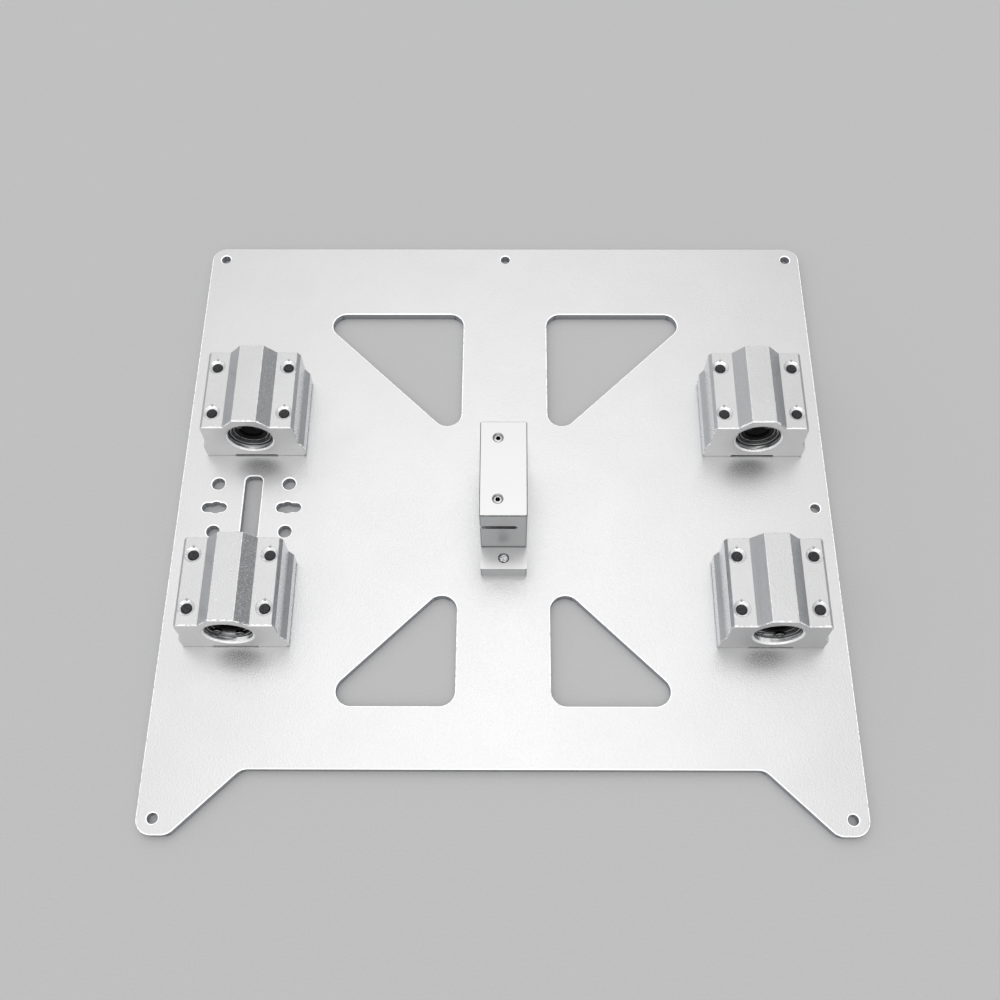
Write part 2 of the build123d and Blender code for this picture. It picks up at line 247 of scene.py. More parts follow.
class Nodes:
    """Adds nodes to a material or to the world and joins them."""

    def __init__(self, tree):
        self.tree = tree

    def add(self, kind, **settings):
        """A new node, with its settings."""
        made = self.tree.nodes.new(kind)
        for name, value in settings.items():
            setattr(made, name, value)
        return made

    def join(self, source, target):
        """Joins an output to an input, or sets the input to a plain value."""
        if isinstance(source, bpy.types.NodeSocket):
            self.tree.links.new(source, target)
        else:
            target.default_value = source

    def ramp(self, value, low, high, to_low=0.0, to_high=1.0):
        """Maps low to high onto to_low to to_high, smoothly and within that range."""
        made = self.add("ShaderNodeMapRange", interpolation_type="SMOOTHSTEP")
        self.join(value, made.inputs["Value"])
        made.inputs["From Min"].default_value = low
        made.inputs["From Max"].default_value = high
        self.join(to_low, made.inputs["To Min"])
        self.join(to_high, made.inputs["To Max"])
        return made.outputs["Result"]

    def swing(self, noise, to_low=0.0, to_high=1.0):
        """Maps the usual range of a noise onto to_low to to_high."""
        return self.ramp(noise, NOISE_LOW, NOISE_HIGH, to_low, to_high)

    def math(self, operation, first, second=0.0):
        """One step of arithmetic."""
        made = self.add("ShaderNodeMath", operation=operation)
        self.join(first, made.inputs[0])
        self.join(second, made.inputs[1])
        return made.outputs["Value"]

    def product(self, first, *others):
        """All values multiplied."""
        for other in others:
            first = self.math("MULTIPLY", first, other)
        return first

    def greatest(self, first, *others):
        """The greatest of the values."""
        for other in others:
            first = self.math("MAXIMUM", first, other)
        return first

    def size_of(self, value):
        """A value without its sign."""
        return self.math("ABSOLUTE", value)

    def sign_of(self, value):
        """The sign of a value: 1, 0 or -1."""
        return self.math("SIGN", value)

    def axes(self, vector):
        """X, Y and Z of a vector."""
        made = self.add("ShaderNodeSeparateXYZ")
        self.join(vector, made.inputs["Vector"])
        return made.outputs["X"], made.outputs["Y"], made.outputs["Z"]

    def fade(self, angle, stops):
        """A level that follows a smooth line through (degrees, level) stops."""
        first, last = stops[0][0], stops[-1][0]
        share = self.add("ShaderNodeMapRange")
        share.inputs["From Min"].default_value = math.radians(first)
        share.inputs["From Max"].default_value = math.radians(last)
        self.join(angle, share.inputs["Value"])
        made = self.add("ShaderNodeValToRGB")
        made.color_ramp.interpolation = "CARDINAL"
        elements = made.color_ramp.elements
        for degrees, _ in stops[1:-1]:
            elements.new((degrees - first) / (last - first))
        for element, (_, level) in zip(elements, stops):
            element.color = (level, level, level, 1.0)
        self.join(share.outputs["Result"], made.inputs["Fac"])
        return made.outputs["Color"]


class Finish(Nodes):
    """A new material's nodes around its Principled shader."""

    def __init__(self, name, colour):
        self.material = bpy.data.materials.new(name)
        self.material.use_nodes = True
        super().__init__(self.material.node_tree)
        self.shader = self.tree.nodes["Principled BSDF"]
        self.colour = tuple(colour)
        self.place = self.add("ShaderNodeTexCoord").outputs["Object"]
        self.x, self.y, self.z = self.axes(self.place)
        facing = self.add("ShaderNodeNewGeometry").outputs["True Normal"]
        self.aside, self.rearward, self.upward = self.axes(facing)

    def texture(self, kind, spread):
        """A texture node whose pattern is drawn out over the object by three lengths."""
        scaled = self.add("ShaderNodeVectorMath", operation="DIVIDE")
        self.join(self.place, scaled.inputs[0])
        scaled.inputs[1].default_value = spread
        made = self.add(kind)
        self.join(scaled.outputs["Vector"], made.inputs["Vector"])
        made.inputs["Scale"].default_value = 1.0
        return made

    def noise(self, size, stretch=(1, 1, 1), detail=2.0, distortion=0.0):
        """Noise whose features are about size across, and longer along axes with a stretch."""
        made = self.texture("ShaderNodeTexNoise", [size * factor for factor in stretch])
        made.inputs["Detail"].default_value = detail
        made.inputs["Distortion"].default_value = distortion
        return made.outputs["Fac"]

    def dots(self, spacing, radius):
        """1 in small dots that are about spacing apart, 0 elsewhere."""
        made = self.texture("ShaderNodeTexVoronoi", [spacing] * 3)
        return self.ramp(made.outputs["Distance"], radius / spacing, 0.6 * radius / spacing)

    def band(self, value, low, high, soft):
        """1 where a value lies between low and high, with soft borders."""
        return self.product(self.ramp(value, low, low + soft), self.ramp(value, high, high - soft))

    def shade(self, factor, low, high):
        """The finish's colour times a share that runs from low to high with a factor."""
        dark = [low * part for part in self.colour] + [1.0]
        bright = [min(1.0, high * part) for part in self.colour] + [1.0]
        return self.blend(factor, dark, bright)

    def blend(self, factor, first, second, kind="RGBA"):
        """A mix of two colours or, as FLOAT, two numbers. Each of them may be a socket."""
        made = self.add("ShaderNodeMix", data_type=kind)
        self.join(factor, made.inputs["Factor"])
        self.join(first, made.inputs["A"])
        self.join(second, made.inputs["B"])
        return made.outputs["Result"]

    def grey(self, level):
        """A grey of a level that may be a socket."""
        made = self.add("ShaderNodeCombineColor")
        for channel in made.inputs:
            self.join(level, channel)
        return made.outputs["Color"]

    def bump(self, height, depth):
        """Presses a height into the surface, depth metres deep."""
        made = self.add("ShaderNodeBump")
        made.inputs["Strength"].default_value = 1.0
        made.inputs["Distance"].default_value = depth
        self.join(height, made.inputs["Height"])
        return made.outputs["Normal"]

    def vector(self, across, along, upward):
        """A vector from its three parts."""
        made = self.add("ShaderNodeCombineXYZ")
        self.join(across, made.inputs["X"])
        self.join(along, made.inputs["Y"])
        self.join(upward, made.inputs["Z"])
        return made.outputs["Vector"]

    def tilt(self, normal, towards, share):
        """Turns a normal part of the way towards another direction."""
        turned = self.add("ShaderNodeMix", data_type="VECTOR")
        self.join(share, turned.inputs["Factor"])
        self.join(normal, turned.inputs["A"])
        self.join(towards, turned.inputs["B"])
        made = self.add("ShaderNodeVectorMath", operation="NORMALIZE")
        self.join(turned.outputs["Result"], made.inputs[0])
        return made.outputs["Vector"]

    def beyond(self, value, place):
        """How far the size of a value is beyond a place on both sides of zero."""
        return self.math("SUBTRACT", self.size_of(value), place)

    def span(self, across, along):
        """Length of the diagonal over two distances."""
        made = self.add("ShaderNodeVectorMath", operation="LENGTH")
        self.join(self.vector(across, along, 0.0), made.inputs[0])
        return made.outputs["Value"]

    def from_rod(self):
        """Distance of a point from the axis of the nearer rod."""
        return self.span(self.beyond(self.x, ROD_X), self.math("SUBTRACT", self.z, ROD_Z))

    def along_block(self):
        """How far to the rear a point is from the middle of its block."""
        return self.product(self.beyond(self.y, BLOCK_Y), self.sign_of(self.y))

    def towards_mouth(self):
        """The direction along the rod towards a point's nearer bore mouth."""
        return self.vector(0.0, self.sign_of(self.along_block()), 0.0)

    def dress(self, metallic, colour, roughness, normal):
        """Joins the finished looks to the shader and returns the material."""
        self.shader.inputs["Metallic"].default_value = metallic
        self.join(colour, self.shader.inputs["Base Color"])
        self.join(roughness, self.shader.inputs["Roughness"])
        self.join(normal, self.shader.inputs["Normal"])
        return self.material


def settings():
    """The finish settings of the scene."""
    return bpy.context.scene.carriage_finish


class Aluminium(Finish):
    """Bead-blasted aluminium: dimples, clouds, a painted sky reflection on flanks, deburred edges
    painted bright.

    Each kind of piece has its own class below. Its finished method adds that piece's marks and its
    painted shade and highlights to the tone, the roughness, the normal and the edges, and then
    completes the material.
    """

    def __init__(self, name, colour, roughness, mottle, wear):
        super().__init__(name, colour)
        specks = self.noise(2.2 * settings().grain, detail=3.0)
        clouds = self.noise(22 * MM, detail=4.0, distortion=0.4)
        mixed = self.math("ADD", self.product(specks, 0.55), self.product(clouds, 0.45))
        self.body = self.shade(self.swing(mixed), 1.0 - mottle, 1.0 + mottle)
        self.satin = self.swing(specks, roughness - mottle, roughness + mottle)
        # Tone below 1 takes the colour towards the painted shade colour: painted shade on sides,
        # walls, bores and rims, a painted reflection on the plate, and real die lines on the blocks
        self.tone = 1.0
        self.along = self.size_of(self.rearward)
        sideways = self.ramp(self.size_of(self.aside), 0.2, 0.4)
        self.flank = self.product(sideways, self.ramp(self.upward, 0.95, 0.8))
        self.wall = self.product(self.ramp(self.along, 0.8, 0.95), self.ramp(self.upward, 0.3, 0.1))
        # Chamfered edges, broken by nicks. They are painted in edge_tone: deburred edges painted
        # bright as a highlight on the plate and blocks, painted shade on the holder
        self.rim = self.ramp(self.upward, 0.62, 0.68)
        self.rim = self.product(self.rim, self.ramp(self.upward, 0.76, 0.72))
        self.nicks = self.ramp(self.noise(1.4 * MM, detail=3.0), 0.38, 0.55, 1.0 - wear, 1.0)
        self.edge = self.product(self.rim, self.nicks)

    def press_dimples(self, depth, plain=0.0):
        """Starts the normal with blasted dimples, which are next to flat where plain is 1."""
        dimples = self.noise(settings().grain, detail=1.0)
        self.normal = self.bump(self.product(dimples, self.ramp(plain, 0.0, 1.0, 1.0, 0.1)), depth)

    def lean(self, towards, share):
        """Turns the normal part of the way towards a direction."""
        self.normal = self.tilt(self.normal, towards, share)

    def dim(self, share):
        """Takes the surface down to a share of its tone."""
        self.tone = self.product(self.tone, share)

    def dim_where(self, mask, share):
        """Takes the surface down to a share of its tone where a mask is 1."""
        self.dim(self.ramp(mask, 0.0, 1.0, 1.0, share))

    def roughen(self, amount):
        """Adds to the roughness."""
        self.satin = self.math("ADD", self.satin, amount)

    def complete(self, edge_tone=1.0, edge_lift=0.8, forward=None, line=None, painted_highlight=None):
        """Mixes in painted shade and sky reflection, turns the edges up to the light, returns the
        material.

        edge_tone is the grey that the edges are painted, edge_lift how far they turn and forward
        how far they lean to the rear. line is 1 on painted shade lines, and painted_highlight is 1
        where a highlight is painted.
        """
        # Painted shade where the tone is below 1, then a painted bluish sky reflection on the
        # flanks
        body = self.blend(self.tone, PAINTED_SHADE_COLOUR, self.body)
        body = self.blend(self.product(self.flank, 0.15), body, SKY_REFLECTION_TINT)
        if line is not None:
            # Painted shade lines on the holder
            body = self.blend(line, body, HOLDER_SHADE_LINE_COLOUR)
        # Edges and painted highlight patches take the grey of edge_tone
        edge_marks = self.edge if painted_highlight is None else self.greatest(self.edge, painted_highlight)
        tint = self.blend(edge_marks, body, self.grey(edge_tone))
        if forward is None:
            forward = self.ramp(self.rearward, -0.2, -0.6, 0.0, EDGE_LEAN_FORWARD)
        overhead = self.vector(self.product(self.x, EDGE_LEAN_X), forward, 1.0)
        self.lean(overhead, self.product(self.edge, edge_tone, edge_lift))
        if painted_highlight is not None:
            self.lean((0.0, -0.4, 1.0), painted_highlight)
        return self.dress(METAL, tint, self.satin, self.normal)


class PlateAluminium(Aluminium):
    """The plate's aluminium, with painted shade on its sides and a painted reflection of the bores:
    dark specks where it mirrors them.
    """

    # A mirrored bore lies inwards from its rod and ahead of its block, and is wider than long
    MIRROR_INWARD = 2.3 * MM
    MIRROR_FRONT, MIRROR_REAR = 3.4 * MM, 4.8 * MM
    MIRROR_SQUASH = 0.6

    def __init__(self):
        wanted = settings()
        super().__init__(
            "plate_blasted_aluminium",
            wanted.plate_colour,
            wanted.plate_roughness,
            mottle=0.03,
            wear=0.2,
        )
        self.press_dimples(0.05 * MM)

    def from_mirrored_bore(self):
        """Distance of a point from where the plate mirrors the nearest bore to the camera."""
        row = self.product(self.sign_of(self.math("ADD", self.y, END_Y)), BLOCK_Y)
        past_front = self.math("ADD", self.math("SUBTRACT", self.y, row), END_Y)
        ahead = self.ramp(self.y, -2 * BLOCK_Y, 0.0, self.MIRROR_FRONT, self.MIRROR_REAR)
        across = self.math("ADD", self.beyond(self.x, ROD_X), self.MIRROR_INWARD)
        across = self.product(across, self.MIRROR_SQUASH)
        return self.span(across, self.math("ADD", past_front, ahead))

    def finished(self):
        """Adds the plate's painted shade, painted reflection and edges, and returns the material.
        """
        # Painted shade on the plate's sloping and upright sides
        self.dim_where(self.flank, 0.5)
        self.dim_where(self.wall, 0.5)
        distance = self.from_mirrored_bore()
        # Painted reflection of the dark bores: dark specks where the plate mirrors them
        specks = self.ramp(self.noise(0.3 * MM), 0.46, 0.58)
        self.dim_where(self.product(specks, self.ramp(distance, 5.5 * MM, 1.0 * MM)), 0.55)
        self.edge = self.product(self.edge, settings().edge_light_and_shade)
        self.roughen(self.ramp(distance, 7.0 * MM, 2.5 * MM, 0.0, 0.13))
        self.roughen(self.product(self.edge, -0.16))
        forward = self.math("ADD", self.product(self.y, EDGE_LEAN_Y), EDGE_LEAN_FORWARD)
        return self.complete(edge_lift=1.15, forward=forward)


class BlockAluminium(Aluminium):
    """The blocks' aluminium: an extrusion with machined ends, tapped holes and a turned bore."""

    def __init__(self):
        wanted = settings()
        super().__init__(
            "block_blasted_aluminium",
            wanted.block_colour,
            wanted.block_roughness,
            mottle=0.05,
            wear=0.55,
        )
        self.radius = self.from_rod()
        self.bored = self.ramp(self.radius, BORE_RADIUS + 0.08 * MM, BORE_RADIUS + 0.04 * MM)
        self.upright = self.product(self.flank, self.ramp(self.upward, 0.5, 0.2))
        plain = self.greatest(self.bored, self.product(self.upright, 0.8))
        self.press_dimples(0.07 * MM, plain)

    def from_hole(self, behind=0.0):
        """Distance of a point, seen from above, from a spot behind its nearest tapped hole."""
        across = self.beyond(self.beyond(self.x, ROD_X), HOLE_X)
        along = self.along_block()
        along = self.product(self.beyond(along, HOLE_Y), self.sign_of(along))
        return self.span(across, self.math("SUBTRACT", along, behind))

    def mark_flanks(self):
        """Die lines, glints on slopes that face right, painted shade on flanks and outer sides,
        painted crest highlights.
        """
        lines = self.swing(self.noise(0.4 * MM, stretch=(1, 60, 1), detail=3.0), 0.96, 1.04)
        # Slight painted shade on all flanks; the die lines below are real
        self.dim_where(self.flank, 0.97)
        self.dim(self.blend(self.flank, 1.0, lines, "FLOAT"))
        # Painted shade on the outer sides, which face away from the light
        outward = self.product(self.aside, self.sign_of(self.x))
        self.dim(self.ramp(outward, 0.2, 0.4, 1.0, 0.86))
        to_right = self.ramp(self.aside, 0.3, 0.6)
        sloping = self.ramp(self.upward, 0.1, 0.4, 0.15, 1.0)
        glints = self.dots(spacing=0.6 * MM, radius=0.25 * MM)
        self.lean(UP, self.product(glints, to_right, sloping, self.flank, 0.4))
        # Painted highlight along the crests, patchy
        crest = self.beyond(self.beyond(self.x, ROD_X), CREST_X)
        crest = self.band(crest, -0.22 * MM, 0.1 * MM, 0.08 * MM)
        patchy = self.ramp(self.noise(0.7 * MM, detail=3.0), 0.42, 0.6, 0.15, 0.75)
        crest = self.product(crest, self.ramp(self.upward, 0.6, 0.7), patchy)
        off_flank = self.product(self.edge, self.ramp(self.flank, 1.0, 0.0))
        self.edge = self.greatest(off_flank, crest)

    def mark_ends(self):
        """Nicked and worn breaks and a few scars, painted highlights on breaks and bore mouth with
        a painted halo, and painted shade on the front blocks' end walls.
        """
        # The end breaks are painted bright as a highlight, broken by real nicks
        slanted = self.product(self.ramp(self.along, 0.25, 0.45), self.ramp(self.along, 0.95, 0.8))
        end_break = self.product(slanted, self.ramp(self.upward, -0.45, -0.2))
        # Painted highlight on the chamfer of the bore mouth
        near_bore = self.ramp(self.radius, MOUTH_RADIUS + 0.5 * MM, MOUTH_RADIUS + 0.3 * MM)
        # Painted halo of light round the bore mouth
        halo = self.band(self.radius, MOUTH_RADIUS - 0.1 * MM, MOUTH_RADIUS + 0.3 * MM, 0.1 * MM)
        halo = self.product(halo, self.ramp(self.along, 0.95, 0.99), 0.3)
        along_block = self.along_block()
        depth = self.ramp(along_block, -1.0 * MM, 1.0 * MM, 0.48 * MM, 0.2 * MM)
        chips = self.product(self.ramp(self.noise(1.0 * MM, detail=3.0), 0.42, 0.62), depth)
        worn = self.math("ADD", self.beyond(along_block, END_Y), chips)
        worn = self.product(self.ramp(worn, -0.12 * MM, 0.0), self.ramp(self.upward, 0.4, 0.65))
        scars = self.dots(spacing=6.0 * MM, radius=0.5 * MM)
        scars = self.product(scars, self.ramp(self.upward, 0.95, 1.0, 0.0, 0.4))
        nicked = self.product(end_break, self.nicks)
        mouth = self.product(end_break, near_bore)
        self.edge = self.greatest(self.edge, nicked, worn, scars, mouth, halo)
        # Painted shade on the end walls of the two front blocks, deeper towards the right
        from_left = self.ramp(self.x, -ROD_X, ROD_X, 0.92, 0.74)
        in_front = self.ramp(self.y, 0.0, -BLOCK_Y)
        front_wall_shade = self.blend(in_front, 1.0, from_left, "FLOAT")
        self.dim(self.blend(self.wall, 1.0, front_wall_shade, "FLOAT"))

    def mark_holes(self):
        """Painted highlights on the countersinks, painted shade round their lip, and painted shade
        of a small dent behind each of them.
        """
        distance = self.from_hole()
        # Painted highlight on each countersink
        sink = self.ramp(distance, SINK_RADIUS + 0.35 * MM, SINK_RADIUS + 0.15 * MM, 0.0, 0.8)
        # Painted shade of a small dent, where the highlight is taken away too
        dent = self.ramp(self.from_hole(behind=2.8 * MM), 0.6 * MM, 0.3 * MM)
        self.edge = self.greatest(self.edge, self.product(self.rim, sink))
        self.edge = self.product(self.edge, self.ramp(dent, 0.0, 1.0, 1.0, 0.2))
        self.dim_where(dent, 0.7)
        # Painted shade on the countersink's lip
        lip = self.band(distance, SINK_RADIUS - 0.1 * MM, SINK_RADIUS + 0.2 * MM, 0.1 * MM)
        self.dim_where(lip, 0.7)

    def mark_bore(self):
        """Painted shade and turning marks in the bore."""
        # Painted shade inside the bore
        self.dim_where(self.bored, 0.85)
        turned = self.noise(0.35 * MM, stretch=(12, 1, 12), detail=2.0)
        catch = self.product(self.bored, self.ramp(turned, 0.35, 0.65, 0.05, 0.35))
        self.lean(self.towards_mouth(), catch)

    def front_bore_highlight(self):
        """Nearly 1 on a painted highlight low down in the two front bores."""
        in_front = self.ramp(self.y, 0.0, -BLOCK_Y)
        low_down = self.ramp(self.z, 9.0 * MM, 7.5 * MM)
        inner_side = self.ramp(self.beyond(self.x, ROD_X), 0.0, -1.5 * MM)
        return self.product(in_front, low_down, inner_side, self.bored, 0.9)

    def finished(self):
        """Adds the blocks' marks and returns the material."""
        self.mark_flanks()
        self.mark_ends()
        self.mark_holes()
        self.mark_bore()
        self.edge = self.product(self.edge, settings().edge_light_and_shade)
        smooth = self.greatest(self.product(self.bored, 0.4), self.upright, self.edge)
        self.roughen(self.product(smooth, -0.11))
        return self.complete(painted_highlight=self.front_bore_highlight())


class HolderAluminium(Aluminium):
    """The belt holder's aluminium, with painted shade on its sides, end walls, outlines and under
    its top edges.
    """

    def __init__(self):
        wanted = settings()
        super().__init__(
            "holder_blasted_aluminium",
            [0.95 * part for part in wanted.holder_colour],
            wanted.holder_roughness,
            mottle=0.01,
            wear=0.3,
        )
        self.press_dimples(0.002 * MM)

    def outline(self):
        """1 on the outer edges of the body and on the feet."""
        sides = self.ramp(self.size_of(self.x), HOLDER_SIDE_X - 0.5 * MM, HOLDER_SIDE_X - 0.4 * MM)
        ends = self.ramp(self.size_of(self.beyond(self.y, HOLDER_END_Y)), 0.4 * MM, 0.3 * MM)
        feet = self.ramp(self.z, HOLDER_FOOT_Z + 0.4 * MM, HOLDER_FOOT_Z + 0.3 * MM)
        return self.greatest(sides, ends, feet)

    def painted_shade_lines(self):
        """Painted shade lines: more than half on the end walls, just under the top edges of the
        body and of the feet.
        """
        at_foot = self.product(
            self.ramp(self.z, HOLDER_FOOT_Z - 0.5 * MM, HOLDER_FOOT_Z - 0.2 * MM),
            self.ramp(self.z, HOLDER_FOOT_Z + 0.3 * MM, HOLDER_FOOT_Z + 0.1 * MM),
        )
        at_top = self.ramp(self.z, HOLDER_TOP_Z - 0.7 * MM, HOLDER_TOP_Z - 0.4 * MM)
        return self.product(self.greatest(at_foot, at_top), self.wall, 0.6)

    def foot_tops(self):
        """Grows from 0 to 0.12 on the tops of the feet, away from the body."""
        return self.product(
            self.ramp(self.z, HOLDER_FOOT_Z + 0.4 * MM, HOLDER_FOOT_Z + 0.2 * MM),
            self.ramp(self.upward, 0.5, 0.9),
            self.ramp(self.size_of(self.y), HOLDER_END_Y, HOLDER_END_Y + 5.5 * MM, 0.0, 0.12),
        )

    def finished(self):
        """Adds the holder's marks and returns the material."""
        # Painted shade on the holder's sides and end walls
        self.dim_where(self.flank, 0.4)
        self.dim_where(self.wall, 0.68)
        self.roughen(self.product(self.wall, 0.15))
        outward = self.vector(0.0, self.product(self.sign_of(self.y), 0.5), 1.0)
        self.lean(outward, self.foot_tops())
        self.edge = self.product(self.edge, settings().edge_light_and_shade)
        # Edges painted dark grey as painted shade, darkest on the outlines
        edge_tone = self.ramp(self.outline(), 0.0, 1.0, 0.5, 0.2)
        return self.complete(edge_tone=edge_tone, line=self.painted_shade_lines())


def ground_steel():
    """Hardened steel with fine grinding marks round the bearing."""
    finish = Finish("ground_bearing_steel", settings().sleeve_colour)
    marks = finish.noise(0.12 * MM, stretch=(6, 1, 6), detail=2.0)
    stains = finish.noise(4 * MM, detail=3.0)
    colour = finish.shade(finish.swing(stains), 0.88, 1.06)
    roughness = finish.swing(marks, 0.22, 0.34)
    return finish.dress(METAL, colour, roughness, finish.bump(marks, 0.002 * MM))


def polished_balls():
    """Polished bearing steel with the faintest orange peel."""
    finish = Finish("polished_ball_steel", settings().ball_colour)
    peel = finish.noise(0.3 * MM, detail=1.0)
    colour = finish.shade(finish.swing(peel), 0.94, 1.04)
    roughness = finish.swing(peel, 0.07, 0.12)
    return finish.dress(METAL, colour, roughness, finish.bump(peel, 0.0005 * MM))


def moulded_retainer():
    """Dark moulded plastic with a fine spark-eroded grain."""
    finish = Finish("moulded_retainer_plastic", settings().retainer_colour)
    grain = finish.noise(0.2 * MM, detail=2.0)
    colour = finish.shade(finish.swing(grain), 0.8, 1.25)
    roughness = finish.swing(grain, 0.45, 0.6)
    return finish.dress(NOT_METAL, colour, roughness, finish.bump(grain, 0.004 * MM))


def seal_rubber():
    """Black rubber with a slight gloss, faint moulding grain and a patchy painted highlight on the
    bead of its lip.
    """
    finish = Finish("seal_rubber_black", settings().seal_colour)
    finish.shader.inputs["Specular IOR Level"].default_value = 0.12
    grain = finish.noise(0.25 * MM, detail=3.0)
    dust = finish.noise(1.5 * MM, detail=4.0)
    radius = finish.from_rod()
    # Painted highlight on the bead, patchy with the dust
    lip = finish.product(
        finish.ramp(radius, SEAL_BEAD_RADIUS - 0.35 * MM, SEAL_BEAD_RADIUS - 0.2 * MM),
        finish.ramp(radius, SEAL_BEAD_RADIUS + 0.05 * MM, SEAL_BEAD_RADIUS - 0.05 * MM),
        finish.ramp(dust, 0.35, 0.6, 0.35, 1.0),
    )
    colour = finish.shade(finish.ramp(dust, 0.4, 0.75), 0.3, 0.7)
    colour = finish.blend(lip, colour, SEAL_BEAD_HIGHLIGHT_COLOUR)
    roughness = finish.swing(grain, 0.34, 0.5)
    normal = finish.tilt(finish.bump(grain, 0.006 * MM), UP, finish.product(lip, 0.6))
    return finish.dress(NOT_METAL, colour, roughness, normal)


def spring_steel():
    """Phosphated spring steel: dark flat sides, slightly mottled, and painted highlights on the
    rims.
    """
    finish = Finish("phosphated_spring_steel", settings().ring_colour)
    mottle = finish.noise(0.5 * MM, detail=4.0)
    round_side = finish.ramp(finish.size_of(finish.rearward), 0.6, 0.3)
    outer = finish.ramp(finish.beyond(finish.along_block(), RING_Y), -0.22 * MM, -0.14 * MM)
    inner_rim = finish.band(
        finish.from_rod(),
        RING_INNER_RADIUS - 0.05 * MM,
        RING_INNER_RADIUS + 0.2 * MM,
        0.08 * MM,
    )
    # Painted highlight on the rounded outer rim and the inner rim
    rim_highlight = finish.greatest(finish.product(round_side, outer), inner_rim)
    colour = finish.shade(finish.ramp(mottle, 0.3, 0.75), 0.3, 0.7)
    colour = finish.blend(rim_highlight, colour, RING_RIM_HIGHLIGHT_COLOUR)
    roughness = finish.swing(mottle, 0.3, 0.45)
    relief = finish.bump(mottle, 0.006 * MM)
    normal = finish.tilt(relief, finish.towards_mouth(), finish.product(rim_highlight, 0.35))
    return finish.dress(METAL, colour, roughness, normal)


def black_oxide():
    """Black oxide on screw steel, with a thin oily mottle and faint turning rings."""
    finish = Finish("black_oxide_screws", settings().black_screw_colour)
    mottle = finish.noise(0.6 * MM, detail=4.0)
    rings = finish.noise(0.15 * MM, stretch=(1, 1, 6), detail=1.0)
    colour = finish.shade(finish.swing(mottle), 0.55, 1.2)
    roughness = finish.swing(mottle, 0.3, 0.46)
    return finish.dress(METAL, colour, roughness, finish.bump(rings, 0.003 * MM))


def bright_zinc(name, shade_top, lean):
    """Clear zinc coating with a fine crystalline haze, bright chamfers and painted shade low down.

    shade_top is the height below which the shade is painted. lean turns the surface part of the
    way to the front, and the haze is darker with it.
    """
    finish = Finish(name, settings().bright_screw_colour)
    haze = finish.noise(0.35 * MM, detail=3.0)
    colour = finish.shade(finish.ramp(haze, 0.35, 0.65), 0.9 - 2.0 * lean, 1.5)
    # Painted shade below shade_top, in the socket and the hole
    socket_shade = finish.ramp(finish.z, shade_top, shade_top - 0.1 * MM)
    colour = finish.blend(socket_shade, colour, SOCKET_SHADE_COLOUR)
    roughness = finish.swing(haze, 0.2, 0.34)
    slanted = finish.ramp(finish.upward, 0.2, 0.4)
    slanted = finish.product(slanted, finish.ramp(finish.upward, 0.95, 0.85, 0.0, 0.75))
    normal = finish.tilt(finish.bump(haze, 0.02 * MM), UP, slanted)
    normal = finish.tilt(normal, (0.0, -0.5, 1.0), lean)
    return finish.dress(METAL, colour, roughness, normal)


def finish_nodes(material, *names):
    """Gives CAD nodes a finish. Their meshes stay as they came."""
    for name in names:
        slots = frame["nodes"][name].material_slots
        if not slots:
            raise RuntimeError(f"{name} has no material slot")
        for slot in slots:
            slot.material = material


def each_corner(piece):
    """The nodes of a piece that every bearing block has."""
    return [f"{corner}_{piece}" for corner in CORNERS]


class CARRIAGE_OT_plate(bpy.types.Operator):
    """Finish the plate in blasted aluminium"""

    bl_idname = "carriage.plate"
    bl_label = "Plate"

    def execute(self, context):
        finish_nodes(PlateAluminium().finished(), "carriage_plate")
        return {"FINISHED"}


class CARRIAGE_OT_block_housings(bpy.types.Operator):
    """Finish the four bearing blocks in blasted aluminium"""

    bl_idname = "carriage.block_housings"
    bl_label = "Block housings"

    def execute(self, context):
        finish_nodes(BlockAluminium().finished(), *each_corner("block_housing"))
        return {"FINISHED"}


class CARRIAGE_OT_belt_holder(bpy.types.Operator):
    """Finish the belt holder in blasted aluminium"""

    bl_idname = "carriage.belt_holder"
    bl_label = "Belt holder"

    def execute(self, context):
        finish_nodes(HolderAluminium().finished(), "belt_holder")
        return {"FINISHED"}


class CARRIAGE_OT_bearing_sleeves(bpy.types.Operator):
    """Finish the bearing sleeves in ground steel"""

    bl_idname = "carriage.bearing_sleeves"
    bl_label = "Bearing sleeves"

    def execute(self, context):
        finish_nodes(ground_steel(), *each_corner("bearing_sleeve"))
        return {"FINISHED"}


class CARRIAGE_OT_ball_retainers(bpy.types.Operator):
    """Finish the ball retainers in dark plastic"""

    bl_idname = "carriage.ball_retainers"
    bl_label = "Ball retainers"

    def execute(self, context):
        finish_nodes(moulded_retainer(), *each_corner("ball_retainer"))
        return {"FINISHED"}


class CARRIAGE_OT_bearing_balls(bpy.types.Operator):
    """Finish the bearing balls in polished steel"""

    bl_idname = "carriage.bearing_balls"
    bl_label = "Bearing balls"

    def execute(self, context):
        finish_nodes(polished_balls(), *each_corner("bearing_balls"))
        return {"FINISHED"}


class CARRIAGE_OT_bearing_seals(bpy.types.Operator):
    """Finish the seals in black rubber"""

    bl_idname = "carriage.bearing_seals"
    bl_label = "Bearing seals"

    def execute(self, context):
        finish_nodes(seal_rubber(), *each_corner("bearing_seals"))
        return {"FINISHED"}


class CARRIAGE_OT_retaining_rings(bpy.types.Operator):
    """Finish the retaining rings in phosphated spring steel"""

    bl_idname = "carriage.retaining_rings"
    bl_label = "Retaining rings"

    def execute(self, context):
        finish_nodes(spring_steel(), *each_corner("retaining_rings"))
        return {"FINISHED"}


class CARRIAGE_OT_block_screws(bpy.types.Operator):
    """Finish the block screws in black oxide"""

    bl_idname = "carriage.block_screws"
    bl_label = "Block screws"

    def execute(self, context):
        finish_nodes(black_oxide(), *each_corner("block_screws"))
        return {"FINISHED"}


